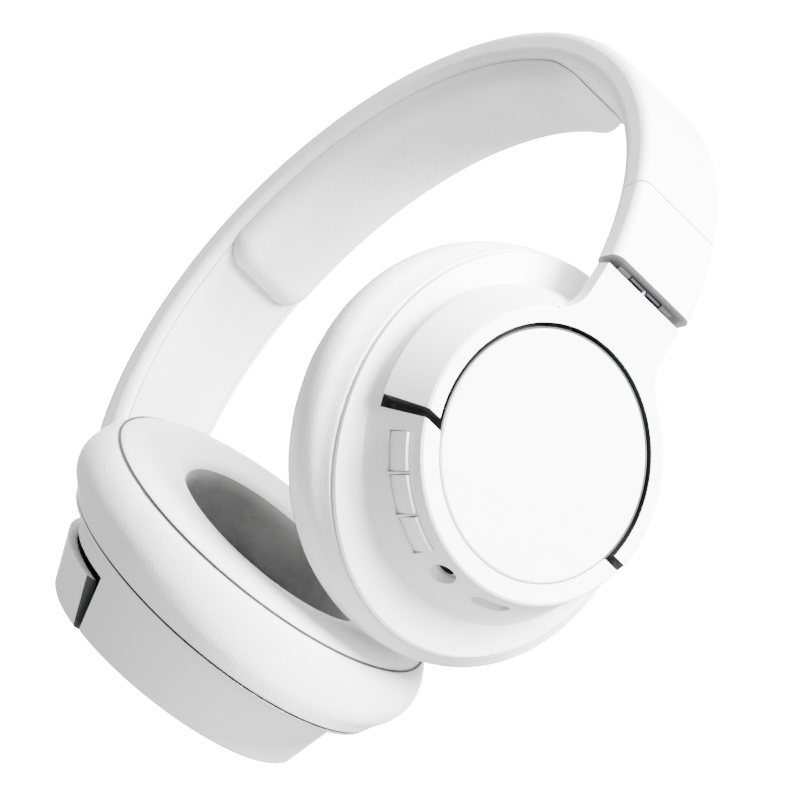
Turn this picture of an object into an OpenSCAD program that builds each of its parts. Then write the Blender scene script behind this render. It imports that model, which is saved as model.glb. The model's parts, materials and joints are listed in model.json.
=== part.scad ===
// Over ear headphones: folding, adjustable, with swivelling and tilting cups.
// Frame: origin under the headband cushion at its middle, where a head holds it.
// +X is the wearer's right, +Y is away from the face of the headband, +Z is up.

/* [Headband] */
// Outer radius of the headband arc
band_r = 75.5; // [74:0.5:80]
// Width of the headband, front to back
band_w = 24; // [22:1:28]
// Thickness of the headband's shells
band_t = 7.4; // [7.2:0.1:9]
// Wall of the headband's outer shell
band_wall = 1.4; // [1.2:0.1:1.6]
// Thickness of the cushion under the headband
band_pad_t = 4.6; // [3:0.2:8]
// Half angle that the headband cushion covers
band_pad_angle = 41; // [30:1:44]
// Angle below the horizontal where the headband ends and the slider housing starts
seam_angle = 4; // [3:0.5:5]
// Angle below the horizontal of the fold hinge
hinge_angle = 19.5; // [19:0.5:21]

/* [Slider] */
// Travel of each slider
slide_travel = 16; // [10:1:18]
// Thickness of the slider strip
strip_t = 0.8; // [0.6:0.1:1]
// Width of the slider strip
strip_w = 14; // [10:1:16]

/* [Hinge and yoke] */
// Distance from the fold pin to the middle of the cap
neck_length = 43; // [43:0.5:46]
// Fold of the right cup at rest, inward from its unfolded stop
rest_fold_right = 13.5; // [0:0.5:13.5]
// Fold of the left cup at rest, inward from its unfolded stop
rest_fold_left = 3; // [0:0.5:3]
// Swivel of the left cup at rest
rest_swivel = 12; // [12:1:20]
// Radius of the fold pin
pin_r = 0.55; // [0.45:0.05:0.6]
// Radius of the swivel post
post_r = 1.2; // [1.1:0.05:1.25]
// Width of the neck at the hinge
neck_w = 23; // [20:0.5:24]
// How far the front end of the fork reaches below its tilt pin
fork_end_front = 10; // [6:0.5:11]
// How far the back end of the fork reaches below its tilt pin
fork_end_back = 5; // [4:0.5:11]

/* [Cup] */
// Radius of the round cap
cap_r = 26; // [25:0.1:26]
// Width of the cup's flange, front to back
flange_w = 75; // [74:1:78]
// Height of the cup's flange
flange_h = 88; // [86:1:90]
// Depth of the cup's shell
shell_depth = 18; // [17.5:0.5:19]
// Depth of the whole cup with its cushion
cup_depth = 36.6; // [36:0.1:36.6]
// Width of the ear cushion, front to back
cushion_w = 86; // [84:1:90]
// Width of the opening in the ear cushion
opening_w = 41.5; // [38:0.5:44]
// Height of the opening in the ear cushion
opening_h = 51; // [48:0.5:54]
// Radius of the driver
driver_r = 20; // [18:0.5:20.5]

/* [Controls] */
// Travel of each push button
button_travel = 0.5; // [0.3:0.1:0.6]
// Angle round the rim that each push button covers
button_span = 15; // [12:1:15]
// Radius of the audio jack's bore
jack_r = 1.75; // [1.75:0.01:1.75]

/* [Hidden] */
$fn = 96;
smooth = 64;                                // points round each oval ring
gap = 0.3;                                  // running gap between moving bodies
band_in_r = band_r - band_t;                // inner radius of the headband's shells
band_z = -(band_in_r - band_pad_t);         // height of the headband arc's centre
mid_r = band_r - band_t / 2;                // radius on which the fold pins lie
cavity_out = band_r - band_wall;            // outer radius of the headband's cavity
cavity_in = band_in_r + band_wall;          // inner radius of the headband's cavity
cavity_w = band_w - 2 * band_wall - 1;      // width of the headband's cavity
pin_half = 8.2;                             // half length of the fold pin
lug_r = 1.25;                               // radius of the hinge lugs and barrel
barrel_half = 4.6;                          // half width of the knuckle's barrel
neck_top = 1.9;                             // gap from the fold pin down to the yoke
cap_off = 1.9;                              // how far the cap stands out from the fold pin
pivot_d = 7;                                // depth of the tilt pins behind the cap
pivot_end = 32.2;                           // distance of the pivot bores' ends from the cup's axis
ring_in = cap_r + 1.3;                      // inner radius of the fork's ring
rim_r = 30.6;                               // outer radius of the rim beside the cap
drum_r = 33.9;                              // outer radius at the foot of the drum
drum_d = 13.5;                              // depth of the foot of the drum
fork_d = 11;                                // depth of the fork
fork_foot_r = 35;                           // outer radius of the fork at its full depth
fork_wall = 2.2;                            // wall of the fork
ledge = 1.8;                                // gap under the fork's ends
button_d0 = 3.6;                            // depth of the buttons' outer edges
button_d1 = 9.4;                            // depth of the buttons' inner edges
button_angles = [-144, -128, -112];         // where the buttons stand round the rim
jack_angle = -93;                           // where the audio jack stands
jack_d = 6;                                 // depth of the audio jack
port_angle = -69;                           // where the charging port stands
port_d = 5.6;                               // depth of the charging port
shell_white = [0.95, 0.95, 0.95];
edge_white = [0.88, 0.88, 0.89];
pad_white = [0.9, 0.9, 0.9];
steel = [0.72, 0.73, 0.75];
dark = [0.25, 0.25, 0.27];

// ---------- shared shapes ----------

// Rectangle with round corners, x from x0 to x1 and w wide about y = 0
module round_slab(x0, x1, w, r) {
  translate([x0 + r, -w / 2]) square([x1 - x0 - 2 * r, w]);
  translate([x0, -w / 2 + r]) square([x1 - x0, w - 2 * r]);
  for (x = [x0 + r, x1 - r])
    for (y = [-w / 2 + r, w / 2 - r])
      translate([x, y]) circle(r, $fn = 32);
}

// Sweeps the profile round the headband's axis from angle a0 up to angle a1
module arc(a0, a1) {
  translate([0, 0, band_z])
    rotate([90, 0, 0])
      rotate([0, 0, a0])
        rotate_extrude(angle = a1 - a0, $fn = 180)
          children();
}

// Profile of the channel shaped shell that the headband and slider housings share
module channel_profile() {
  difference() {
    round_slab(band_in_r, band_r, band_w, 2.4);
    translate([band_in_r - 1, -cavity_w / 2]) square([band_t + 1 - band_wall, cavity_w]);
  }
}

// Profile of the cover that closes the channel
module cover_profile() {
  translate([band_in_r, -cavity_w / 2 + 0.1]) square([band_wall, cavity_w - 0.2]);
}

// One oval ring of points at depth d, ry by rz
function ring(d, ry, rz) =
  [for (i = [0 : smooth - 1]) let (a = 360 * i / smooth) [-d, ry * cos(a), rz * sin(a)]];

// Closed solid through a list of [depth, half width, half height] stations
module loft(stations) {
  n = len(stations);
  points = [for (s = stations) each ring(s[0], s[1], s[2])];
  sides = [for (k = [0 : n - 2]) for (i = [0 : smooth - 1]) let (j = (i + 1) % smooth)
    [k * smooth + i, k * smooth + j, (k + 1) * smooth + j, (k + 1) * smooth + i]];
  front = [[for (i = [smooth - 1 : -1 : 0]) i]];
  back = [[for (i = [0 : smooth - 1]) (n - 1) * smooth + i]];
  polyhedron(points, concat(sides, front, back));
}

// Closed ring through a loop of [depth, half width, half height] stations
module loft_ring(stations) {
  n = len(stations);
  points = [for (s = stations) each ring(s[0], s[1], s[2])];
  sides = [for (k = [0 : n - 1]) for (i = [0 : smooth - 1])
    let (j = (i + 1) % smooth, m = (k + 1) % n)
    [k * smooth + i, k * smooth + j, m * smooth + j, m * smooth + i]];
  polyhedron(points, sides);
}

// Puts a cylinder along X with its face at depth d and its far end deeper by h
module disc(d, h, r) {
  translate([-d, 0, 0]) rotate([0, -90, 0]) cylinder(h = h, r = r);
}

// Cone round X from radius r0 at depth d0 to radius r1 at depth d1
module cone(d0, r0, d1, r1) {
  translate([-d0, 0, 0]) rotate([0, -90, 0]) cylinder(h = d1 - d0, r1 = r0, r2 = r1);
}

// Turns its children round the cup's axis so that +Y points at an angle
module round_rim(angle) {
  rotate([angle, 0, 0]) children();
}

// ---------- frames of the moving bodies ----------

function rest_fold(side) = side > 0 ? rest_fold_right : rest_fold_left;

module on_side(side) {
  if (side > 0) children();
  else mirror([1, 0, 0]) children();
}

// Frame of a fold pin: X outward, Z along the neck
module neck_frame(side, fold, swivel) {
  on_side(side)
    translate([mid_r * cos(hinge_angle), 0, band_z - mid_r * sin(hinge_angle)])
      rotate([0, hinge_angle + fold, 0])
        rotate([0, 0, swivel])
          children();
}

// Frame of a knuckle: it folds with the cup and doesn't swivel
module knuckle_frame(side) {
  neck_frame(side, rest_fold(side), 0) children();
}

// Frame of a cup: origin at the middle of the cap's face
module cup_frame(side) {
  neck_frame(side, rest_fold(side), side > 0 ? 0 : rest_swivel)
    translate([cap_off, 0, -neck_length])
      children();
}

// ---------- headband ----------

module band_outer_shell() {
  color(shell_white)
    arc(-seam_angle, 180 + seam_angle) channel_profile();
}

module band_inner_shell() {
  color(edge_white)
    arc(-seam_angle, 180 + seam_angle) cover_profile();
}

module band_spring() {
  color(steel)
    arc(44, 136)
      translate([cavity_out - 1.2, -strip_w / 2]) square([strip_t, strip_w]);
}

module band_cushion() {
  color(pad_white)
    arc(90 - band_pad_angle, 90 + band_pad_angle)
      round_slab(band_in_r - band_pad_t, band_in_r - 0.02, band_w - 2.4, 1.8);
}

// ---------- slider ----------

housing_top = -seam_angle - 0.25;           // angle at which the housing starts
housing_end = -hinge_angle - 0.45;          // angle at which the housing stops
clamp_top = -hinge_angle + 8.5;             // angle at which the housing's solid end starts
strip_mid_r = cavity_in + 0.2;              // radius of the strip's inner face at the seam
strip_up = 22;                              // length of the strip above the seam
strip_down = 14;                            // length of the strip below the seam

// The straight strip, tangent to the arc at the seam, with a clearance round it
module strip_bar(clearance) {
  translate([0, 0, band_z])
    rotate([0, seam_angle, 0])
      translate([strip_mid_r - clearance, -strip_w / 2 - clearance, -strip_down - clearance])
        cube([strip_t + 2 * clearance, strip_w + 2 * clearance, strip_down + strip_up + clearance]);
}

module slider_strip(side) {
  color(steel)
    on_side(side) strip_bar(0);
}

// Lugs of the fold hinge, drawn in the frame of the fold pin
module hinge_lugs() {
  for (y = [-pin_half, barrel_half + gap])
    translate([0, y, 0]) {
      rotate([-90, 0, 0]) cylinder(h = pin_half - barrel_half - gap, r = lug_r);
      translate([-lug_r, 0, 0]) cube([2 * lug_r, pin_half - barrel_half - gap, 2.4]);
    }
}

module slider_housing(side) {
  color(shell_white)
    on_side(side)
      difference() {
        union() {
          arc(housing_end, housing_top) channel_profile();
          arc(housing_end, clamp_top)
            translate([band_in_r + 0.01, -cavity_w / 2 - 0.2]) square([band_t - 1, cavity_w + 0.4]);
          neck_frame(1, 0, 0) hinge_lugs();
        }
        strip_bar(0.05);
        neck_frame(1, 0, 0) {
          rotate([90, 0, 0]) cylinder(h = 2 * pin_half + 2, r = pin_r, center = true);
          rotate([90, 0, 0]) cylinder(h = 2 * barrel_half + 2 * gap, r = lug_r + gap, center = true);
        }
      }
}

module slider_cover(side) {
  color(edge_white)
    on_side(side)
      arc(clamp_top + 0.1, housing_top) cover_profile();
}

module fold_pin(side) {
  color(steel)
    knuckle_frame(side)
      rotate([90, 0, 0]) cylinder(h = 2 * pin_half, r = pin_r, center = true);
}

// ---------- knuckle and swivel ----------

post_end = 13.4;                            // depth of the swivel post's end below the pin
clip_z = 12;                                // depth of the retaining clip below the pin
clip_h = 0.8;                               // thickness of the retaining clip
clip_r = 1.45;                              // outer radius of the retaining clip
groove_r = 0.85;                            // radius of the post's groove

module fold_knuckle(side) {
  color(steel)
    knuckle_frame(side)
      difference() {
        union() {
          rotate([90, 0, 0]) cylinder(h = 2 * barrel_half, r = lug_r, center = true);
          translate([0, 0, -post_end]) cylinder(h = post_end, r = post_r);
        }
        rotate([90, 0, 0]) cylinder(h = 2 * barrel_half + 1, r = pin_r + 0.03, center = true);
        translate([0, 0, -clip_z - clip_h])
          difference() {
            cylinder(h = clip_h, r = post_r + 1);
            translate([0, 0, -1]) cylinder(h = clip_h + 2, r = groove_r);
          }
      }
}

module swivel_clip(side) {
  color(dark)
    knuckle_frame(side)
      translate([0, 0, -clip_z - clip_h + 0.05])
        difference() {
          cylinder(h = clip_h - 0.1, r = clip_r);
          translate([0, 0, -1]) cylinder(h = clip_h + 2, r = groove_r);
          translate([-clip_r - 1, -0.7, -1]) cube([clip_r + 1, 1.4, 3]);
        }
}

// ---------- yoke ----------

neck_z = neck_length - neck_top;            // top of the neck above the cap's middle
neck_t = 4.6;                               // thickness of the neck
plate_t = 3.5;                              // thickness of the yoke's own part of the neck
flare_r = 9;                                // radius of the fillets beside the neck
ring_out = rim_r + 0.1;                     // outer radius of the fork's ring at the neck
flare_z = sqrt(pow(ring_out + flare_r, 2) - pow(neck_w / 2 + flare_r, 2));
foot_y = (neck_w / 2 + flare_r) * ring_out / (ring_out + flare_r);
foot_z = flare_z * ring_out / (ring_out + flare_r);

// Outline of the neck in the plane of the cap, with a fillet on each side
module neck_outline() {
  translate([-neck_w / 2, 24]) square([neck_w, neck_z - 24]);
  for (s = [-1, 1])
    difference() {
      polygon([[0, 20], [s * foot_y, foot_z], [s * (neck_w / 2 + flare_r), flare_z], [0, flare_z]]);
      translate([s * (neck_w / 2 + flare_r), flare_z]) circle(flare_r);
    }
}

// Extrudes an outline drawn as (front to back, height) from depth d0 to depth d1
module plate(d0, d1) {
  translate([-d1, 0, 0])
    rotate([90, 0, 90])
      linear_extrude(d1 - d0)
        children();
}

// Everything above the fork's slanted lower ends
module above_ends(drop) {
  plate(-5, 30)
    polygon([[-50, -fork_end_front - drop], [0, -fork_end_front - drop], [0, -fork_end_back - drop],
      [50, -fork_end_back - drop], [50, 60], [-50, 60]]);
}

module yoke(side) {
  color(shell_white)
    cup_frame(side)
      difference() {
        union() {
          intersection() {
            union() {
              cone(0, ring_out - 0.5, 0.5, ring_out);
              cone(0.5, ring_out, fork_d, fork_foot_r);
            }
            above_ends(0);
          }
          plate(0, plate_t) neck_outline();
        }
        disc(-1, 4.2, ring_in);
        cone(3.1, ring_in + 1, fork_d + 0.1, fork_foot_r - fork_wall);
        pivot_bore(1.22);
        translate([-cap_off, 0, neck_length - post_end - 1])
          cylinder(h = post_end + 2, r = post_r + 0.04);
        translate([-cap_off, 0, neck_length - clip_z - clip_h - 0.4])
          cylinder(h = clip_h + 0.8, r = clip_r + 0.15);
        translate([-fork_d, 0, 0]) yoke_screw_holes(0.8);
      }
}

screw_y = 8.4;                              // screws' distance from the neck's middle
screw_z = neck_z - 4;                       // screws' height above the cap's middle

module yoke_screw_holes(r) {
  for (y = [-screw_y, screw_y])
    translate([0, y, screw_z]) rotate([0, 90, 0]) cylinder(h = fork_d - 1.2, r = r, $fn = 24);
}

module yoke_cover(side) {
  color(edge_white)
    cup_frame(side)
      difference() {
        plate(plate_t + 0.05, neck_t)
          translate([1 - neck_w / 2, 33.6]) square([neck_w - 2, neck_z - 34.6]);
        translate([-cap_off, 0, neck_length - clip_z - clip_h - 0.4])
          cylinder(h = clip_h + 0.8, r = clip_r + 0.15);
        translate([-fork_d, 0, 0]) yoke_screw_holes(0.8);
      }
}

module yoke_screws(side) {
  color(steel)
    cup_frame(side)
      for (y = [-screw_y, screw_y])
        translate([-neck_t - 0.5, y, screw_z])
          rotate([0, 90, 0]) {
            cylinder(h = 0.5, r = 1.4, $fn = 32);
            cylinder(h = neck_t - 1.2, r = 0.8, $fn = 24);
          }
}

// Bore of the tilt pins, blind in the fork
module pivot_bore(r) {
  translate([-pivot_d, 0, 0]) rotate([90, 0, 0]) cylinder(h = 2 * pivot_end, r = r, center = true);
}

module tilt_pins(side) {
  color(steel)
    cup_frame(side)
      for (s = [-1, 1])
        translate([-pivot_d, s * (pivot_end - 3.3), 0])
          rotate([90, 0, 0]) cylinder(h = 6.4, r = 1.2, center = true);
}

// ---------- cup ----------

pedestal_r = cap_r + 0.4;                   // radius of the seat under the fork
pedestal_foot = 30.2;                       // radius of the seat's foot
recess_d = fork_d + 1.6;                    // depth of the recess for the fork
shell_stations = [[0.35, rim_r - 0.5, rim_r - 0.5], [0.8, rim_r, rim_r], [drum_d, drum_r, drum_r],
  [14.9, 34.4, 35.2], [16, 35.4, 38.4], [16.8, 36.6, 41.6],
  [17.3, flange_w / 2, flange_h / 2 - 0.6], [shell_depth, flange_w / 2 + 0.1, flange_h / 2]];
baffle_ry = 33.4;                           // half width of the baffle's seat
baffle_rz = 36.4;                           // half height of the baffle's seat
hollow_stations = [[2.4, 24.4, 24.4], [recess_d, 28.4, 28.4], [15.8, 31.4, 31.4],
  [16.6, baffle_ry, baffle_rz], [shell_depth + 1, baffle_ry, baffle_rz]];

module fork_recess() {
  difference() {
    intersection() {
      disc(-1, recess_d + 1, 36.4);
      above_ends(ledge);
    }
    disc(-2, 6, pedestal_r);
    cone(3.4, pedestal_r, recess_d + 0.1, pedestal_foot);
  }
}

// Places its children at the four screws that hold the baffle to the shell
module at_cup_screws() {
  for (y = [-21, 21])
    for (z = [-24.5, 24.5])
      translate([-18.35, y, z]) rotate([0, 90, 0]) children();
}

module cup_shell(side) {
  color(shell_white)
    cup_frame(side)
      difference() {
        loft(shell_stations);
        loft(hollow_stations);
        disc(-1, 2.9, cap_r + 0.15);
        fork_recess();
        pivot_bore(1.25);
        at_cup_screws() cylinder(h = 5, r = 0.86, $fn = 24);
        if (side > 0) control_openings();
      }
}

module cap(side) {
  color(shell_white)
    cup_frame(side) {
      disc(0.4, 1.4, cap_r);
      cone(0, cap_r - 0.4, 0.4, cap_r);
    }
}

module baffle(side) {
  color(dark)
    cup_frame(side)
      difference() {
        loft([[shell_depth - 1.3, baffle_ry - 0.1, baffle_rz - 0.1], [shell_depth, baffle_ry - 0.1, baffle_rz - 0.1]]);
        disc(16, 3, driver_r + 0.1);
        at_cup_screws() cylinder(h = 5, r = 0.86, $fn = 24);
      }
}

module cup_screws(side) {
  color(steel)
    cup_frame(side)
      at_cup_screws() {
        cylinder(h = 0.3, r = 1.5, $fn = 32);
        cylinder(h = 4.6, r = 0.8, $fn = 24);
      }
}

module driver_frame(side) {
  color(dark)
    cup_frame(side)
      difference() {
        union() {
          disc(16.6, 1.2, driver_r);
          cone(13, 12, 16.6, driver_r - 1.2);
        }
        cone(14, 10.6, 17.9, driver_r - 1);
        disc(12, 4, 9.1);
      }
}

module magnet(side) {
  color(steel)
    cup_frame(side)
      disc(10.6, 4.4, 9);
}

module diaphragm(side) {
  color([0.55, 0.5, 0.42])
    cup_frame(side)
      disc(17.4, 0.3, driver_r - 2.4);
}

module speaker_cloth(side) {
  color([0.5, 0.5, 0.5])
    cup_frame(side)
      loft([[20.8, opening_w / 2 - 0.4, opening_h / 2 - 0.4],
        [21.3, opening_w / 2 - 0.4, opening_h / 2 - 0.4]]);
}

module cushion_plate(side) {
  color(edge_white)
    cup_frame(side)
      difference() {
        loft([[shell_depth + 0.4, flange_w / 2 - 0.6, flange_h / 2 - 0.6],
          [shell_depth + 1.5, flange_w / 2 - 0.6, flange_h / 2 - 0.6]]);
        loft([[shell_depth - 1, 24, 29], [shell_depth + 3, 24, 29]]);
      }
}

pad_d = shell_depth + 1.7;                  // depth at which the ear cushion starts
crease_d = cup_depth - 2.2;                 // depth of the cushion's outer crease
cushion_stations = [[pad_d, flange_w / 2 - 0.2, flange_h / 2 - 0.8],
  [pad_d + 0.8, cushion_w / 2 - 2.4, flange_h / 2 + 0.5], [pad_d + 3, cushion_w / 2 - 0.3, flange_h / 2 + 0.9],
  [pad_d + 6, cushion_w / 2, flange_h / 2 + 0.5], [pad_d + 11, cushion_w / 2 - 1.8, flange_h / 2 - 0.8],
  [crease_d, cushion_w / 2 - 5.5, flange_h / 2 - 3.5],
  [cup_depth - 0.6, cushion_w / 2 - 9, flange_h / 2 - 6.8], [cup_depth, 29.5, 33.5],
  [cup_depth - 0.8, 24.5, 28.5], [cup_depth - 4, opening_w / 2, opening_h / 2],
  [pad_d, opening_w / 2 + 0.6, opening_h / 2 + 0.6]];

module ear_cushion(side) {
  color(pad_white)
    cup_frame(side)
      loft_ring(cushion_stations);
}

// ---------- controls and electronics ----------

button_rim = rim_r + 1;                     // radius of the drum's wall at the buttons
button_proud = 0.5;                         // how far a button stands out of the rim

// A block on the rim: from radius r0 to radius r1, within a button's angle and depth
module button_block(angle, r0, r1, inset) {
  intersection() {
    difference() {
      disc(button_d0 + inset, button_d1 - button_d0 - 2 * inset, r1);
      disc(0, 20, r0);
    }
    round_rim(angle) {
      half = (button_span / 2) - inset * 1.8;
      plate(0, 20) polygon([[0, 0], [50 * cos(half), 50 * sin(half)], [50 * cos(half), -50 * sin(half)]]);
    }
  }
}

module control_openings() {
  for (a = button_angles) button_block(a, 24, 40, 0);
  round_rim(jack_angle) {
    translate([-jack_d, 28, 0]) rotate([-90, 0, 0]) cylinder(h = 20, r = 2.9);
    translate([-jack_d, 20, 0]) rotate([-90, 0, 0]) cylinder(h = 20, r = 2.6);
  }
  round_rim(port_angle) port_slot(4.6, 1.8, 20, 20);
}

// Stadium shaped slot that runs outward from radius y0, 2 * half long and 2 * r high
module port_slot(half, r, y0, h) {
  for (z = [-half + r, half - r])
    translate([-port_d, y0, z]) rotate([-90, 0, 0]) cylinder(h = h, r = r, $fn = 32);
  translate([-port_d - r, y0, -half + r]) cube([2 * r, h, 2 * (half - r)]);
}

module button(index) {
  color(shell_white)
    cup_frame(1)
      button_block(button_angles[index], 28.9, button_rim + button_proud, 0.15);
}

module power_button() {
  button(0);
}

module volume_down_button() {
  button(1);
}

module volume_up_button() {
  button(2);
}

module audio_jack() {
  color(dark)
    cup_frame(1)
      round_rim(jack_angle)
        difference() {
          translate([-jack_d, 17, 0]) rotate([-90, 0, 0]) cylinder(h = 13.4, r = 2.5);
          translate([-jack_d, 18, 0]) rotate([-90, 0, 0]) cylinder(h = 20, r = jack_r);
        }
}

module charging_port() {
  color(steel)
    cup_frame(1)
      round_rim(port_angle)
        difference() {
          port_slot(4.47, 1.65, 23, 7.2);
          port_slot(4.2, 1.35, 24, 20);
        }
}

module circuit_board() {
  color("green")
    cup_frame(1)
      difference() {
        disc(3, 1, 22);
        translate([-10, -30, -30]) cube([20, 60, 14]);
        translate([-10, -30, -16]) cube([20, 17, 12]);
      }
}

module microphone() {
  color(steel)
    cup_frame(1)
      disc(4.1, 1.4, 3);
}

module battery() {
  color([0.35, 0.4, 0.5])
    cup_frame(-1)
      translate([-7.5, -15, -10]) cube([4.5, 30, 20]);
}

// ---------- drawing ----------

band_outer_shell();
band_inner_shell();
band_spring();
band_cushion();
slider_strip(1);  // slider_strip_right
slider_housing(1);  // slider_housing_right
slider_cover(1);  // slider_cover_right
fold_pin(1);  // fold_pin_right
fold_knuckle(1);  // fold_knuckle_right
swivel_clip(1);  // swivel_clip_right
yoke(1);  // yoke_right
yoke_cover(1);  // yoke_cover_right
yoke_screws(1);  // yoke_screws_right
tilt_pins(1);  // tilt_pins_right
cup_shell(1);  // cup_shell_right
cap(1);  // cap_right
baffle(1);  // baffle_right
driver_frame(1);  // driver_frame_right
magnet(1);  // magnet_right
diaphragm(1);  // diaphragm_right
speaker_cloth(1);  // speaker_cloth_right
cushion_plate(1);  // cushion_plate_right
ear_cushion(1);  // ear_cushion_right
cup_screws(1);  // cup_screws_right
slider_strip(-1);  // slider_strip_left
slider_housing(-1);  // slider_housing_left
slider_cover(-1);  // slider_cover_left
fold_pin(-1);  // fold_pin_left
fold_knuckle(-1);  // fold_knuckle_left
swivel_clip(-1);  // swivel_clip_left
yoke(-1);  // yoke_left
yoke_cover(-1);  // yoke_cover_left
yoke_screws(-1);  // yoke_screws_left
tilt_pins(-1);  // tilt_pins_left
cup_shell(-1);  // cup_shell_left
cap(-1);  // cap_left
baffle(-1);  // baffle_left
driver_frame(-1);  // driver_frame_left
magnet(-1);  // magnet_left
diaphragm(-1);  // diaphragm_left
speaker_cloth(-1);  // speaker_cloth_left
cushion_plate(-1);  // cushion_plate_left
ear_cushion(-1);  // ear_cushion_left
cup_screws(-1);  // cup_screws_left
power_button();
volume_down_button();
volume_up_button();
circuit_board();
audio_jack();
charging_port();
microphone();
battery();
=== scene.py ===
import math
import json
import bmesh
import bpy
from mathutils import Matrix, Vector, noise


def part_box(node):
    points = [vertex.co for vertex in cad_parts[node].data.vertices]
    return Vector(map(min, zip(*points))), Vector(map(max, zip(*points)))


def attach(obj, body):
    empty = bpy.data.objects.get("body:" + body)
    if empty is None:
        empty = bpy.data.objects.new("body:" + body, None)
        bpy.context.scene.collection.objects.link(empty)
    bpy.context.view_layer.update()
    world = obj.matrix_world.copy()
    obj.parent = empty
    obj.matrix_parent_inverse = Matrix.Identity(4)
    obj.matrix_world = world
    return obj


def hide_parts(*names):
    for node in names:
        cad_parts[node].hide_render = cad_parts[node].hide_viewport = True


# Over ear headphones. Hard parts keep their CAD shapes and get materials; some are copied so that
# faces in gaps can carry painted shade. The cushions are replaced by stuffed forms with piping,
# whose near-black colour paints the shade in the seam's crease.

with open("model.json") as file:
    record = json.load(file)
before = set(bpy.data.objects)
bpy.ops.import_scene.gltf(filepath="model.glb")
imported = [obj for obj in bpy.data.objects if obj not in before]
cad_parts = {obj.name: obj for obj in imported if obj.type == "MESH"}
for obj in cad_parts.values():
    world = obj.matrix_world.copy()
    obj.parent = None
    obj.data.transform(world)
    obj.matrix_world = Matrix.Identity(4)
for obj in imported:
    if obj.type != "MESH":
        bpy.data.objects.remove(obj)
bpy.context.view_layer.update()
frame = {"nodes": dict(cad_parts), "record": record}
record = frame["record"]
joints = {j["name"]: j for j in record["behaviour"]["joints"]}
scene = bpy.context.scene
MM = 0.001


# ---------- where things are, read from the frame ----------

TILT_DEPTH = 7  # mm from the cap's outer face in to the tilt axis


class Cup:
    """Frame of one cup at rest: x outward, y back, z up along the neck, origin at the cap."""

    def __init__(self, side, word):
        self.side, self.word = side, word
        self.pin = Vector(joints[word + "_fold"]["pos_m"])
        self.z = Vector(joints[word + "_swivel"]["axis"]).normalized()
        self.y = (-side * Vector(joints[word + "_tilt"]["axis"])).normalized()
        self.x = (self.y.cross(self.z) * side).normalized()
        self.origin = Vector(joints[word + "_tilt"]["pos_m"]) + self.x * TILT_DEPTH * MM

    def at(self, x, y, z):
        """The place in the scene, in metres, of a point in the cup's own frame, in mm."""
        return self.origin + (self.x * x + self.y * y + self.z * z) * MM

    def local(self, p):
        """The place in the cup's own frame, in mm, of a point in the scene."""
        arm = (p - self.origin) / MM
        return arm.dot(self.x), arm.dot(self.y), arm.dot(self.z)


CUPS = [Cup(1, "right"), Cup(-1, "left")]
SLOT_OF = {s["node"]: s["material_slot"] for s in record["subparts"]}
BODY_OF = {n: body for body, names in record["behaviour"]["bodies"].items() for n in names}
jack = next(m for m in record["mounts"] if m["name"] == "audio_jack")

# The headband is an arc in the xz plane. Its outer shell tops it and spans its whole width.
shell_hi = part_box("band_outer_shell")[1]
ARC_Z = shell_hi[2] - shell_hi[0]
PAD_SEAT = 1.4 * MM  # from the inner cover's outermost point in to the face the cushion is sewn to
PAD_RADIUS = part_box("band_inner_shell")[1][0] - PAD_SEAT
PAD_THICKNESS = PAD_RADIUS + ARC_Z  # the cushion's underside is at the origin


def link_object(name, data):
    obj = bpy.data.objects.new(name, data)
    scene.collection.objects.link(obj)
    return obj


# ---------- materials ----------

def material(name, color, roughness, **sockets):
    """A new material and its shader, with the named sockets set."""
    m = bpy.data.materials.new(name)
    m.use_nodes = True
    bsdf = m.node_tree.nodes["Principled BSDF"]
    bsdf.inputs["Base Color"].default_value = (*color, 1)
    bsdf.inputs["Roughness"].default_value = roughness
    for k, v in sockets.items():
        bsdf.inputs[k.replace("_", " ")].default_value = v
    return m, bsdf


def node(m, kind, **values):
    """A new shader node; values go to its input sockets, or to its settings."""
    n = m.node_tree.nodes.new(kind)
    for k, v in values.items():
        if k in n.inputs:
            n.inputs[k].default_value = v
        else:
            setattr(n, k, v)
    return n


def link(m, output, socket):
    m.node_tree.links.new(output, socket)


def noise_of(m, scale, detail=3.0, stretch=(1, 1, 1), rough=0.5):
    """A noise texture in the piece's own coordinates; its output is from 0 to 1."""
    coord = node(m, "ShaderNodeTexCoord")
    mapping = node(m, "ShaderNodeMapping")
    mapping.inputs["Scale"].default_value = stretch
    tex = node(m, "ShaderNodeTexNoise", Scale=scale, Detail=detail, Roughness=rough)
    link(m, coord.outputs["Object"], mapping.inputs["Vector"])
    link(m, mapping.outputs["Vector"], tex.inputs["Vector"])
    return tex


def ranged(m, source, low, high, a=0.3, b=0.7):
    """Maps the part of source between a and b to low and high."""
    r = node(m, "ShaderNodeMapRange")
    for k, v in (("From Min", a), ("From Max", b), ("To Min", low), ("To Max", high)):
        r.inputs[k].default_value = v
    link(m, source, r.inputs["Value"])
    return r.outputs["Result"]


def tinted(m, source, dark, light, a=0.3, b=0.7):
    """A colour ramp from dark to light over source."""
    ramp = node(m, "ShaderNodeValToRGB")
    ramp.color_ramp.elements[0].position = a
    ramp.color_ramp.elements[0].color = (*dark, 1)
    ramp.color_ramp.elements[1].position = b
    ramp.color_ramp.elements[1].color = (*light, 1)
    link(m, source, ramp.inputs["Fac"])
    return ramp.outputs["Color"]


def bumps(m, bsdf, layers, edge=0.0):
    """Chains (height output, distance in mm, strength) bumps over softly rounded edges."""
    last = None
    if edge:
        bevel = node(m, "ShaderNodeBevel", samples=4, Radius=edge * MM)
        last = bevel.outputs["Normal"]
    for height, distance, strength in layers:
        bump = node(m, "ShaderNodeBump", Strength=strength, Distance=distance * MM)
        link(m, height, bump.inputs["Height"])
        if last:
            link(m, last, bump.inputs["Normal"])
        last = bump.outputs["Normal"]
    if last:
        link(m, last, bsdf.inputs["Normal"])


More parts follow.
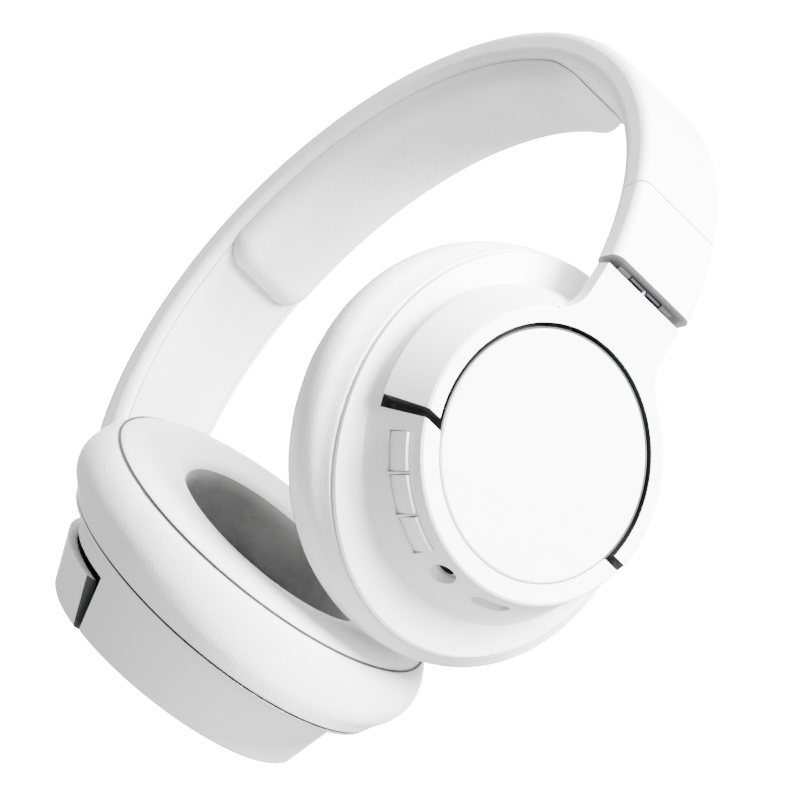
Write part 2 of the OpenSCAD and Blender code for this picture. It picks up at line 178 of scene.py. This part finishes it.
# The Mix node has a socket of each name for every data type; these are the colour ones.
MIX_A, MIX_B, MIX_RESULT = 6, 7, 2
GAP_REACH = 1.8  # mm


def shaded_gaps(m, color, gap_shade):
    """Darkens the colour inside narrow gaps: painted shade, from ambient occlusion."""
    ao = node(m, "ShaderNodeAmbientOcclusion", samples=6, Distance=GAP_REACH * MM)
    shadow = tinted(m, ao.outputs["AO"], (gap_shade, gap_shade, gap_shade * 1.03), (1, 1, 1), 0.12, 0.5)
    mix = node(m, "ShaderNodeMix", data_type="RGBA", blend_type="MULTIPLY")
    mix.inputs["Factor"].default_value = 1.0
    link(m, color, mix.inputs[MIX_A])
    link(m, shadow, mix.inputs[MIX_B])
    return mix.outputs[MIX_RESULT]


def plastic(name, dark, light, low, high, edge=0.35, gap_shade=None):
    """Satin moulded plastic: soft mottling, fine texture, faint rubbed patches, and, if told how
    dark, painted shade in narrow gaps.
    """
    m, bsdf = material(name, light, low, Specular_IOR_Level=0.45)
    broad = noise_of(m, 38, 2)
    fine = noise_of(m, 2600, 2)
    rubbed = noise_of(m, 120, 5, rough=0.65)
    color = tinted(m, broad.outputs["Fac"], dark, light)
    # painted shade: the colour darkens in narrow gaps
    if gap_shade is not None:
        color = shaded_gaps(m, color, gap_shade)
    link(m, color, bsdf.inputs["Base Color"])
    link(m, ranged(m, rubbed.outputs["Fac"], low, high), bsdf.inputs["Roughness"])
    bumps(m, bsdf, [(fine.outputs["Fac"], 0.02, 0.14), (broad.outputs["Fac"], 0.25, 0.06)], edge)
    return m


def leatherette(name, dark, light, low, high):
    """Leatherette: pebbled grain, fine creases, a soft sheen and slightly darker hollows."""
    m, bsdf = material(
        name, light, low, Specular_IOR_Level=0.4, Sheen_Weight=0.12, Sheen_Roughness=0.5)
    coord = node(m, "ShaderNodeTexCoord")
    grain = node(
        m, "ShaderNodeTexVoronoi", feature="DISTANCE_TO_EDGE", Scale=1150.0, Randomness=0.95)
    link(m, coord.outputs["Object"], grain.inputs["Vector"])
    pebble = ranged(m, grain.outputs["Distance"], 0, 1, 0.0, 0.28)
    broad = noise_of(m, 55, 3)
    crease = noise_of(m, 260, 4, stretch=(1, 1, 0.35), rough=0.6)
    link(m, tinted(m, broad.outputs["Fac"], dark, light), bsdf.inputs["Base Color"])
    link(m, ranged(m, crease.outputs["Fac"], low, high), bsdf.inputs["Roughness"])
    bumps(m, bsdf, [
        (pebble, 0.05, 0.5), (crease.outputs["Fac"], 0.25, 0.25), (broad.outputs["Fac"], 0.6, 0.2),
    ])
    return m


def metal(name, dark, light, low, high):
    """Brushed metal: scratches in colour and relief, drawn out along y, and smudged gloss."""
    m, bsdf = material(name, light, low, Metallic=1.0)
    brushed = noise_of(m, 900, 5, stretch=(1, 0.08, 1), rough=0.7)
    smudge = noise_of(m, 90, 3)
    link(m, tinted(m, brushed.outputs["Fac"], dark, light), bsdf.inputs["Base Color"])
    link(m, ranged(m, smudge.outputs["Fac"], low, high), bsdf.inputs["Roughness"])
    bumps(m, bsdf, [(brushed.outputs["Fac"], 0.02, 0.4)], 0.15)
    return m


def woven(name, dark, light):
    """Fine acoustic cloth: two crossing sets of threads with uneven yarn."""
    m, bsdf = material(name, light, 0.9, Sheen_Weight=0.2, Sheen_Roughness=0.6)
    coord = node(m, "ShaderNodeTexCoord")
    waves = []
    for axis in ("Y", "Z"):
        w = node(
            m, "ShaderNodeTexWave",
            wave_type="BANDS", bands_direction=axis, Scale=300.0, Distortion=0.6)
        link(m, coord.outputs["Object"], w.inputs["Vector"])
        waves.append(w.outputs["Fac"])
    both = node(m, "ShaderNodeMath", operation="MAXIMUM")
    link(m, waves[0], both.inputs[0])
    link(m, waves[1], both.inputs[1])
    yarn = noise_of(m, 300, 4)
    mixed = node(m, "ShaderNodeMath", operation="MULTIPLY")
    link(m, both.outputs["Value"], mixed.inputs[0])
    link(m, ranged(m, yarn.outputs["Fac"], 0.7, 1.1), mixed.inputs[1])
    link(m, tinted(m, mixed.outputs["Value"], dark, light, 0.2, 0.95), bsdf.inputs["Base Color"])
    link(m, ranged(m, yarn.outputs["Fac"], 0.8, 0.97), bsdf.inputs["Roughness"])
    bumps(m, bsdf, [(mixed.outputs["Value"], 0.12, 0.8)])
    return m


# Each takes a dark and a light colour and the lowest and highest roughness. Plastic also takes the
# radius its edges seem to have, in mm, and how dark its painted shade in gaps gets.
white = plastic("satin_white", (0.81, 0.81, 0.815), (0.86, 0.86, 0.86), 0.32, 0.44, 0.3, 0.1)
edge_grey = plastic("satin_pale_grey", (0.72, 0.72, 0.73), (0.78, 0.78, 0.79), 0.36, 0.5, 0.3, 0.1)
black = plastic("matte_black", (0.012, 0.012, 0.013), (0.024, 0.024, 0.026), 0.5, 0.7, 0.2)
# Near-black for faces in the shell's recess, beside the cap and inside the yoke: painted shade in
# gaps.
painted_gap_shade = plastic("painted_shade_in_gaps", (0.018, 0.018, 0.019), (0.032, 0.032, 0.034), 0.6, 0.8, 0.0)
# Dark grey for the slider housing's end and lugs: painted shade in the fold hinge's gap.
painted_hinge_gap_shade = plastic("painted_hinge_gap_shade", (0.12, 0.12, 0.123), (0.17, 0.17, 0.173), 0.5, 0.7, 0.0)
film = plastic("driver_film", (0.45, 0.42, 0.34), (0.6, 0.56, 0.46), 0.3, 0.5, 0.1)
board = plastic("solder_mask", (0.01, 0.08, 0.03), (0.02, 0.13, 0.05), 0.35, 0.55, 0.1)
sleeve = plastic("battery_sleeve", (0.12, 0.16, 0.22), (0.18, 0.22, 0.3), 0.35, 0.5, 0.2)
pad = leatherette("white_leatherette", (0.82, 0.82, 0.82), (0.88, 0.88, 0.88), 0.42, 0.58)
band_pad = leatherette("band_leatherette", (0.72, 0.72, 0.725), (0.79, 0.79, 0.795), 0.45, 0.62)
lining = leatherette("ear_cavity_lining", (0.17, 0.17, 0.172), (0.27, 0.27, 0.272), 0.8, 0.95)
# Near-black cord colour: painted shade in the crease at the ear cushion's seam.
crease_shade_cord = leatherette("crease_shade_piping", (0.02, 0.02, 0.021), (0.045, 0.045, 0.046), 0.6, 0.75)
steel = metal("brushed_steel", (0.42, 0.43, 0.45), (0.62, 0.63, 0.65), 0.22, 0.4)
dark_steel = metal("dark_steel", (0.05, 0.05, 0.055), (0.12, 0.12, 0.125), 0.3, 0.45)
cloth = woven("acoustic_cloth", (0.05, 0.05, 0.052), (0.2, 0.2, 0.2))

BY_SLOT = {
    "shell": white, "shell_edge": edge_grey, "cushion": pad, "steel": steel,
    "inner_plastic": black, "cloth": cloth, "film": film, "board": board, "cell": sleeve,
}


# ---------- hard pieces ----------

def shade(mesh, angle):
    """Smooth faces with sharp edges where the surface turns by more than angle, in degrees."""
    bm = bmesh.new()
    bm.from_mesh(mesh)
    for e in bm.edges:
        e.smooth = len(e.link_faces) != 2 or e.calc_face_angle(0) < math.radians(angle)
    for f in bm.faces:
        f.smooth = True
    bm.to_mesh(mesh)
    bm.free()


for name, obj in frame["nodes"].items():
    obj.data.materials.clear()
    obj.data.materials.append(BY_SLOT[SLOT_OF[name]])
    if name.startswith("yoke_cover"):  # it closes the white yoke's neck
        obj.data.materials[0] = white


WELD = 0.005 * MM  # points of a CAD mesh nearer than this are one


def copy_of(name, angle=None, mat=None, inside=None, inside_mat=None):
    """Stands in for a CAD piece: smooth below angle, with inside_mat on the faces inside picks."""
    mesh = frame["nodes"][name].data.copy()
    mesh.name = "finished_" + name
    mesh.transform(frame["nodes"][name].matrix_world)
    if angle:
        bm = bmesh.new()
        bm.from_mesh(mesh)
        bmesh.ops.remove_doubles(bm, verts=bm.verts, dist=WELD)
        bm.to_mesh(mesh)
        bm.free()
        if "custom_normal" in mesh.attributes:
            mesh.attributes.remove(mesh.attributes["custom_normal"])
        shade(mesh, angle)
    if mat:
        mesh.materials[0] = mat
    if inside:
        mesh.materials.append(inside_mat)
        for p in mesh.polygons:
            if inside(p.center, p.normal):
                p.material_index = 1
    obj = link_object("finished_" + name, mesh)
    if angle:
        weighted = obj.modifiers.new("weighted", "WEIGHTED_NORMAL")
        weighted.keep_sharp = True
    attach(obj, BODY_OF[name])
    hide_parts(name)


# Places on a cup in mm: depths run in from the cap's outer face, radii out from its middle.
LIP = 0.3  # faces less deep than this are in plain sight
CAP_WALL = (26.1, 26.45)  # radii
RECESS_DEPTH = (0.9, 13.4)
RECESS_INNER = 26.3
RECESS_OUTER, RECESS_TOP, RECESS_FLARE = 30.15, 0.8, 0.26  # the radius at the top depth, its slope
CONTROLS = (-153, -52)  # degrees round the right cup's rim where the buttons and sockets are
RING_INNER, RING_STRAIGHT, RING_FLARE = 27.6, 3.1, 0.7  # straight to this depth, then its slope
NECK_TOP = 40.5  # height
FLAT = 0.9  # the part of a face's normal that makes it an end face


def shell_gaps(cup):
    """Faces of a cup's shell that lie in the recess for the fork or beside the cap; they get
    painted shade.
    """
    def inside(center, normal):
        x, y, z = cup.local(center)
        depth, r, turn = -x, math.hypot(y, z), math.degrees(math.atan2(z, y))
        outer = RECESS_OUTER + (depth - RECESS_TOP) * RECESS_FLARE
        in_recess = RECESS_DEPTH[0] < depth < RECESS_DEPTH[1] and RECESS_INNER < r < outer
        controls = cup.side > 0 and CONTROLS[0] < turn < CONTROLS[1]
        beside_cap = depth > LIP and CAP_WALL[0] < r < CAP_WALL[1]
        return (in_recess and not controls) or beside_cap
    return inside


def fork_gaps(cup):
    """Faces of a yoke that look into gaps: the ring's inside, the fork's ends, the neck's top;
    they get painted shade.
    """
    def inside(center, normal):
        x, y, z = cup.local(center)
        depth, end = -x, normal.dot(cup.z)
        ring = RING_INNER + max(0.0, depth - RING_STRAIGHT) * RING_FLARE
        in_ring = depth > LIP and math.hypot(y, z) < ring
        return in_ring or (end < -FLAT and z < 0) or (end > FLAT and z > NECK_TOP)
    return inside


def housing_gaps(cup):
    """Faces of a slider housing that look into the fold hinge's gap: its end and its lugs, which
    get dark grey as painted shade.
    """
    arm = cup.pin - Vector((0, 0, ARC_Z))
    down = Vector((arm.z * cup.side, 0, -abs(arm.x))).normalized()
    past_pin = 0.4 * MM

    def inside(center, normal):
        return (center - cup.pin).dot(down) > past_pin
    return inside


BORE_SLACK = 0.1  # mm


def in_bore(center, normal):
    """Faces of the audio jack's bore."""
    arm = center - Vector(jack["pos_m"])
    axis = Vector(jack["axis"]).normalized()
    return (arm - axis * arm.dot(axis)).length < (jack["dims"]["r_mm"] + BORE_SLACK) * MM


for cup in CUPS:
    # Faces that look into gaps get dark materials as painted shade.
    copy_of("cup_shell_" + cup.word, angle=20, inside=shell_gaps(cup), inside_mat=painted_gap_shade)
    copy_of("yoke_" + cup.word, inside=fork_gaps(cup), inside_mat=painted_gap_shade)
    copy_of("slider_housing_" + cup.word, inside=housing_gaps(cup), inside_mat=painted_hinge_gap_shade)
    copy_of("fold_knuckle_" + cup.word, mat=dark_steel)
    copy_of("fold_pin_" + cup.word, mat=dark_steel)
copy_of("audio_jack", mat=steel, inside=in_bore, inside_mat=black)


# ---------- soft pieces ----------

def clean(mesh, weld=None):
    """Turns the faces outward, after joining points nearer than weld, and shades them smooth."""
    bm = bmesh.new()
    bm.from_mesh(mesh)
    if weld:
        bmesh.ops.remove_doubles(bm, verts=bm.verts, dist=weld)
    bmesh.ops.recalc_face_normals(bm, faces=bm.faces)
    bm.to_mesh(mesh)
    bm.free()
    for p in mesh.polygons:
        p.use_smooth = True


def wrap(rows, length):
    """Faces from each closed ring of points to the next, and from the last to the first."""
    faces = []
    for i in range(rows):
        for k in range(length):
            j, m = (k + 1) % length, (i + 1) % rows
            faces.append([i * length + k, i * length + j, m * length + j, m * length + k])
    return faces


def soft_piece(name, verts, faces, mat, body):
    """A new piece with the material mat, riding on body."""
    mesh = bpy.data.meshes.new(name)
    mesh.from_pydata(verts, [], faces)
    clean(mesh)
    mesh.materials.append(mat)
    obj = link_object(name, mesh)
    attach(obj, body)
    return obj


def subdivide(obj):
    sub = obj.modifiers.new("smooth", "SUBSURF")
    sub.levels = sub.render_levels = 1


def spline(points, steps, sharp):
    """Points along a Catmull-Rom spline through a closed loop, creased at the sharp points."""
    n, out = len(points), []
    for i in range(n):
        p1, p2 = Vector(points[i]), Vector(points[(i + 1) % n])
        p0 = Vector(points[i - 1]) if i not in sharp else p1 * 2 - p2
        p3 = Vector(points[(i + 2) % n]) if (i + 1) % n not in sharp else p2 * 2 - p1
        for k in range(steps):
            t = k / steps
            out.append(0.5 * (2 * p1 + (p2 - p0) * t + (2 * p0 - 5 * p1 + 4 * p2 - p3) * t * t
                              + (3 * p1 - p0 - 3 * p2 + p3) * t * t * t))
    return out


PRESSURE = 4.0
SETTLED = 20  # frames the simulation runs for


def inflate(obj, pinned, cap):
    """Puffs the piece up by cloth simulation; pinned points hold, and none moves more than cap."""
    before = [v.co.copy() for v in obj.data.vertices]
    group = obj.vertex_groups.new(name="pinned")
    for i, w in pinned.items():
        group.add([i], w, "REPLACE")
    mod = obj.modifiers.new("cloth", "CLOTH")
    s = mod.settings
    s.quality = 6
    s.mass = 0.2
    s.tension_stiffness = s.compression_stiffness = 25
    s.shear_stiffness = 12
    s.bending_stiffness = 0.8
    s.use_pressure = True
    s.uniform_pressure_force = PRESSURE
    s.vertex_group_mass = "pinned"
    s.effector_weights.gravity = 0
    mod.collision_settings.use_collision = False
    mod.point_cache.frame_start, mod.point_cache.frame_end = 1, SETTLED
    for f in range(1, SETTLED + 1):
        scene.frame_set(f)
    dg = bpy.context.evaluated_depsgraph_get()
    after = [v.co.copy() for v in obj.evaluated_get(dg).data.vertices]
    obj.modifiers.remove(mod)
    scene.frame_set(1)
    for v, start, end in zip(obj.data.vertices, before, after):
        move = end - start
        if move.length > cap:
            move *= cap / move.length
        v.co = start + move


def tube(name, points, radius, mat, body, sides=8):
    """A closed round cord through the points."""
    n, verts = len(points), []
    for i, p in enumerate(points):
        along = (points[(i + 1) % n] - points[i - 1]).normalized()
        if i == 0:
            a = along.orthogonal().normalized()
        else:
            a = (a - along * a.dot(along)).normalized()
        b = along.cross(a)
        for k in range(sides):
            t = 2 * math.pi * k / sides
            verts.append(p + (a * math.cos(t) + b * math.sin(t)) * radius)
    return soft_piece(name, verts, wrap(n, sides), mat, body)


# Stations on an ear cushion's section, in mm: depth in from the cap, half width, half height.
# They run up the inner wall, over the crowned front panel to the seam, and down the side panel.
STATIONS = [
    (19.8, 21.4, 26.2), (25.5, 21.0, 25.8), (31.8, 20.9, 25.7), (35.2, 23.4, 27.6),
    (36.3, 28.8, 32.4), (35.6, 35.2, 37.8), (33.9, 39.0, 41.0), (30.4, 41.4, 42.9),
    (26.3, 42.6, 44.1), (22.8, 41.6, 44.6), (20.4, 39.4, 44.4), (18.1, 37.8, 43.9),
]
FOOT, SEAM, BACK = 0, 6, 11  # the stations with a crease
STEPS = 5  # rows of points from one station to the next
AROUND = 176  # points in a row
LINED = 2.4  # the lining reaches this station
PUCKERED = (3, 9)  # puckers lie between these stations; the seam's own row has none
PUCKER = 0.28  # mm at the seam
PUCKER_ROWS = 4.0  # rows over which they fade
PUCKER_WAVES = 9  # the higher, the closer together they are
SEAM_HOLD = 0.97  # how firmly the simulation holds the seam, where 1 is fixed
SEAM_PULLS = ((0, 0.62), (-1, 0.12), (1, 0.18))  # rows from the seam, mm pulled in
EAR_PUFF = 0.7 * MM  # the most that the simulation may move a point
MIDDLE_DEPTH = 30  # mm; the seam is pulled towards this depth on the cup's axis
PIPING_OUT = 0.3  # mm out from the seam
PIPING_RADIUS = 0.26 * MM


def pucker_at(row, a, cup):
    """How far the stitching lifts the leather near the seam, in mm."""
    rows_off = abs(row - SEAM * STEPS)
    if rows_off == 0 or not PUCKERED[0] * STEPS <= row <= PUCKERED[1] * STEPS:
        return 0.0
    wave = noise.noise(Vector((
        math.cos(a) * PUCKER_WAVES, math.sin(a) * PUCKER_WAVES, 3.0 + cup.side)))
    return math.exp(-rows_off / PUCKER_ROWS) * PUCKER * wave


def ear_cushion(cup):
    """A stuffed ring: inner wall, crowned front panel and side panel, with piping in the seam; the
    piping's near-black colour is painted shade of the crease there.
    """
    last, seam = BACK * STEPS, SEAM * STEPS
    section = spline(STATIONS, STEPS, {FOOT, SEAM, BACK})[: last + 1]
    hold = {0: 1.0, seam: SEAM_HOLD, last: 1.0}
    verts, pinned = [], {}
    for row, (depth, half_w, half_h) in enumerate(section):
        for k in range(AROUND):
            a = 2 * math.pi * k / AROUND
            pucker = pucker_at(row, a, cup)
            y = (half_w + pucker) * math.cos(a)
            z = (half_h + pucker) * math.sin(a)
            if row in hold:
                pinned[len(verts)] = hold[row]
            verts.append(cup.at(-depth, y, z))
    faces = wrap(len(section), AROUND)
    obj = soft_piece("soft_ear_cushion_" + cup.word, verts, faces, pad, cup.word + "_cup")
    mesh = obj.data
    mesh.materials.append(lining)
    for p in mesh.polygons:
        if p.index // AROUND < LINED * STEPS or p.index // AROUND >= last:
            p.material_index = 1
    inflate(obj, pinned, EAR_PUFF)
    middle = cup.at(-MIDDLE_DEPTH, 0, 0)
    for off, pull in SEAM_PULLS:
        for k in range(AROUND):
            v = mesh.vertices[(seam + off) * AROUND + k]
            v.co = v.co - (v.co - middle).normalized() * pull * MM
    subdivide(obj)
    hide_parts("ear_cushion_" + cup.word)
    ring = [mesh.vertices[seam * AROUND + k].co for k in range(AROUND)]
    cord = [p + (p - middle).normalized() * PIPING_OUT * MM for p in ring]
    # The piping's near-black colour paints the shade of the seam's crease.
    tube("crease_shade_piping_" + cup.word, cord, PIPING_RADIUS, crease_shade_cord, cup.word + "_cup")


PAD_CORNER = 5.5 * MM  # radius of its corners in plan
PAD_ROLL = 4.4 * MM  # how far in from the rim its edge is still rounded
PAD_ROLL_POWER = 2.2  # 2 is an ellipse, and more is squarer
PAD_CROWN = 0.07  # the part of its thickness that it loses towards its sides
PAD_GAP = 0.00015  # m between it and the inner cover
PAD_RIM_WELD = 0.00004  # m; joins its flat and its puffed side
PAD_SEWN = 0.0004  # m; the simulation holds points nearer the inner cover than this
PAD_PUFF = 0.5 * MM  # the most that it may move a point
PAD_ROWS, PAD_COLUMNS = 151, 33  # points along and across it


def crowded(t, share):
    """Moves t, from -1 to 1, towards its ends, so that points gather at the rim."""
    return math.sin(t * math.pi / 2) * share + t * (1 - share)


def band_cushion():
    """The pad under the headband: a stuffed strip with round corners, sewn down along its rim."""
    lo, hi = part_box("band_cushion")
    half_w = (hi[1] - lo[1]) / 2
    half_length = PAD_RADIUS * math.atan2(hi[0], lo[2] - ARC_Z)
    straight, flat_w = half_length - PAD_CORNER, half_w - PAD_CORNER

    def height(along, y, v):
        """Thickness of the stuffed strip at a place in its plan."""
        over_x, over_y = abs(along) - straight, abs(y) - flat_w
        outside = math.hypot(max(over_x, 0), max(over_y, 0))
        from_rim = PAD_CORNER - outside - min(max(over_x, over_y), 0)
        t = 1 - min(max(from_rim, 0.0) / PAD_ROLL, 1.0)
        crown = 1 - PAD_CROWN + PAD_CROWN * math.cos(v * math.pi / 2)
        return PAD_THICKNESS * math.sqrt(max(0.0, 1 - t ** PAD_ROLL_POWER)) * crown

    verts, faces = [], []
    for puffed in (False, True):
        first = len(verts)
        for i in range(PAD_ROWS):
            for k in range(PAD_COLUMNS):
                along = crowded(-1 + 2 * i / (PAD_ROWS - 1), 0.4) * half_length
                v = crowded(-1 + 2 * k / (PAD_COLUMNS - 1), 0.6)
                past = max(0.0, abs(along) - straight)
                y = v * (flat_w + math.sqrt(max(0.0, PAD_CORNER ** 2 - past ** 2)))
                r = PAD_RADIUS - PAD_GAP - (height(along, y, v) if puffed else 0.0)
                a = math.pi / 2 - along / PAD_RADIUS
                verts.append(Vector((r * math.cos(a), y, ARC_Z + r * math.sin(a))))
        for i in range(PAD_ROWS - 1):
            for k in range(PAD_COLUMNS - 1):
                p = first + i * PAD_COLUMNS + k
                faces.append([p, p + PAD_COLUMNS, p + PAD_COLUMNS + 1, p + 1])
    obj = soft_piece("soft_band_cushion", verts, faces, band_pad, "headband")
    clean(obj.data, PAD_RIM_WELD)
    pinned = {
        v.index: 1.0 for v in obj.data.vertices
        if math.hypot(v.co.x, v.co.z - ARC_Z) > PAD_RADIUS - PAD_SEWN
    }
    inflate(obj, pinned, PAD_PUFF)
    subdivide(obj)
    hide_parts("band_cushion")


for cup in CUPS:
    ear_cushion(cup)
band_cushion()


# ---------- camera, lights, backdrop ----------

AZIMUTH, ELEVATION, ROLL = (math.radians(v) for v in (45.86, -47.31, -8.6))
DISTANCE, LENS = 4.63, 1013.3  # m, mm
MIDDLE = Vector((0, 0, -0.0926))  # of the object
AIM_RIGHT, AIM_UP = 0.00267, 0.00915  # m from the object's middle to where the camera points

back = Vector((
    math.sin(AZIMUTH) * math.cos(ELEVATION),
    -math.cos(AZIMUTH) * math.cos(ELEVATION),
    math.sin(ELEVATION),
))
level = (-back).cross(Vector((0, 0, 1))).normalized()
upright = level.cross(-back).normalized()
right = level * math.cos(ROLL) - upright * math.sin(ROLL)
up = upright * math.cos(ROLL) + level * math.sin(ROLL)
aim = MIDDLE + right * AIM_RIGHT + up * AIM_UP

cam_data = bpy.data.cameras.new("camera")
cam_data.lens = LENS
cam_data.clip_start, cam_data.clip_end = 0.1, 60
cam = link_object("camera", cam_data)
cam.location = aim + back * DISTANCE
cam.rotation_mode = "QUATERNION"
cam.rotation_quaternion = Matrix((right, up, back)).transposed().to_quaternion()
scene.camera = cam

world = bpy.data.worlds.new("studio")
scene.world = world
world.use_nodes = True
world.node_tree.nodes["Background"].inputs["Color"].default_value = (1, 1, 1, 1)
world.node_tree.nodes["Background"].inputs["Strength"].default_value = 1.0

LIT = Vector((0, 0, -0.09))  # where the lights point
LIGHT_DISTANCE = 0.9  # m


def area(name, direction, size, power):
    """A round soft light, size across in m, facing the object from the given direction."""
    data = bpy.data.lights.new(name, "AREA")
    data.shape = "DISK"
    data.size = size
    data.energy = power
    obj = link_object(name, data)
    obj.location = LIT + direction.normalized() * LIGHT_DISTANCE
    obj.rotation_mode = "QUATERNION"
    obj.rotation_quaternion = (LIT - obj.location).normalized().to_track_quat("-Z", "Y")


area("key", right * 1.0 + up * 0.4 + back * 0.6, 0.5, 84)
area("top", right * 0.8 + up * 1.0 + back * 0.05, 0.5, 34)
area("low fill", right * 0.4 - up * 0.8 + back * 0.45, 0.6, 7)

# The camera looks up at the object, so a bright sheet behind it takes the place of a floor.
SHEET_BEHIND, SHEET_HALF = 1.2, 0.3  # m
glow, glow_bsdf = material("backdrop", (1, 1, 1), 0.9, Emission_Strength=18.0)
glow_bsdf.inputs["Emission Color"].default_value = (1, 1, 1, 1)
corners = [
    aim - back * SHEET_BEHIND + right * x * SHEET_HALF + up * y * SHEET_HALF
    for x, y in ((-1, -1), (1, -1), (1, 1), (-1, 1))
]
sheet = bpy.data.meshes.new("backdrop")
sheet.from_pydata(corners, [], [(0, 1, 2, 3)])
sheet.materials.append(glow)
backdrop = link_object("backdrop", sheet)
